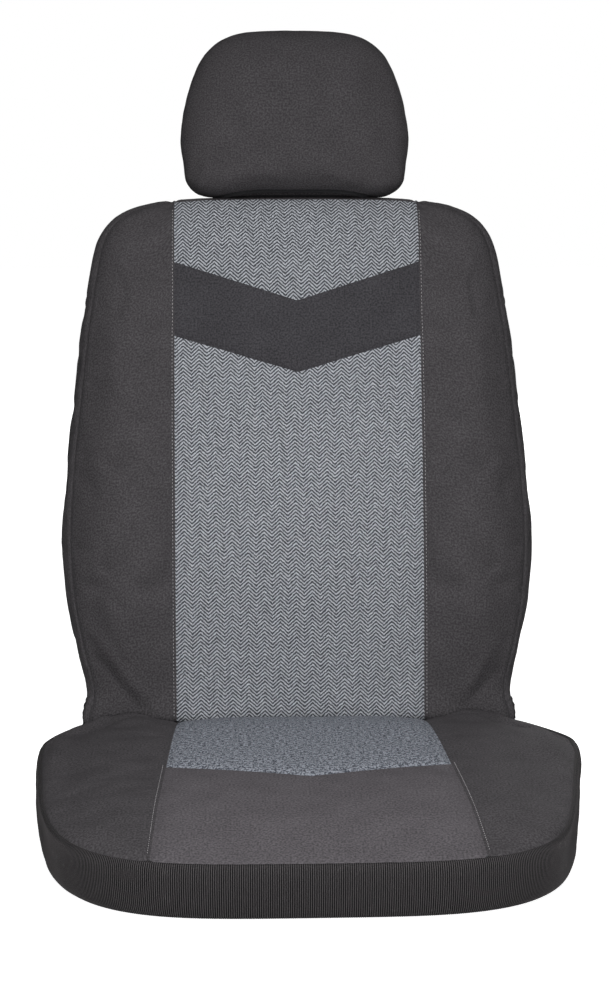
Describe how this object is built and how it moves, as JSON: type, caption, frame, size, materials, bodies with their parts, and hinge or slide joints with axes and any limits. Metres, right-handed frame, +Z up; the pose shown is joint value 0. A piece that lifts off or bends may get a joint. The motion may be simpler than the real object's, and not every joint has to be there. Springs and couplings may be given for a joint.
{
  "type": "seat cover set",
  "caption": "Fabric cover set for a low-back car seat: separate headrest cover, backrest cover and skirted cushion cover with straps underneath.",
  "frame": {"origin": "middle of the footprint, on the plane that the cushion cover's hem rests on", "axes": "+Z up, the seat faces -Y, +X to the right as seen from the front"},
  "size_m": [0.5564, 0.7274, 0.8206],
  "materials": {
    "herringbone": "grey herringbone weave, matt",
    "plain_insert": "plain blue-grey weave, matt",
    "dark_knit": "dark charcoal knit, foam backed, matt",
    "front_knit": "dark warm grey knit, matt",
    "ribbed_knit": "dark ribbed stretch knit",
    "flap_cloth": "plain dark cloth",
    "binding": "woven edge binding",
    "elastic_band": "woven elastic",
    "strap_webbing": "woven strap webbing",
    "buckle_plastic": "moulded matt plastic"
  },
  "bodies": {
    "cushion_cover": {"seat_rear_insert": "plain_insert", "seat_front_panel": "front_knit", "seat_bolster_left": "dark_knit", "seat_bolster_right": "dark_knit", "seat_skirt": "ribbed_knit", "skirt_hem_elastic": "elastic_band", "seat_tuck_flap": "flap_cloth", "strap_webbing_left": "strap_webbing", "strap_elastic_left": "elastic_band", "buckle_socket_left": "buckle_plastic", "strap_webbing_right": "strap_webbing", "strap_elastic_right": "elastic_band", "buckle_socket_right": "buckle_plastic", "strap_webbing_cross": "strap_webbing", "strap_elastic_cross": "elastic_band", "buckle_socket_cross": "buckle_plastic"},
    "backrest_cover": {"back_lower_insert": "herringbone", "back_upper_insert": "herringbone", "back_chevron_band": "dark_knit", "back_bolster_left": "dark_knit", "back_bolster_right": "dark_knit", "back_side_left": "dark_knit", "back_side_right": "dark_knit", "back_top_gusset": "dark_knit", "back_rear_panel": "dark_knit", "back_hem_elastic": "elastic_band", "post_slot_binding_left": "binding", "post_slot_binding_right": "binding"},
    "headrest_cover": {"headrest_front_panel": "dark_knit", "headrest_back_panel": "dark_knit", "headrest_hem_elastic": "elastic_band"},
    "plug_left": {"buckle_plug_left": "buckle_plastic"},
    "plug_right": {"buckle_plug_right": "buckle_plastic"},
    "plug_cross": {"buckle_plug_cross": "buckle_plastic"}
  },
  "joints": [
    {"name": "recline", "type": "hinge", "parent": "cushion_cover", "child": "backrest_cover", "pos_m": [0, 0.1057, 0.058], "axis": [-1, 0, 0], "range_deg": [-10, 30]},
    {"name": "headrest_lift", "type": "slide", "parent": "backrest_cover", "child": "headrest_cover", "axis": [0, 0.2079, 0.9781], "range_m": [0, 0.06]},
    {"name": "buckle_release_left", "type": "slide", "parent": "cushion_cover", "child": "plug_left", "axis": [0, 1, 0], "range_m": [0, 0.026], "deforming": ["strap_elastic_left"]},
    {"name": "buckle_release_right", "type": "slide", "parent": "cushion_cover", "child": "plug_right", "axis": [0, 1, 0], "range_m": [0, 0.026], "deforming": ["strap_elastic_right"]},
    {"name": "buckle_release_cross", "type": "slide", "parent": "cushion_cover", "child": "plug_cross", "axis": [1, 0, 0], "range_m": [0, 0.026], "deforming": ["strap_elastic_cross"]}
  ]
}
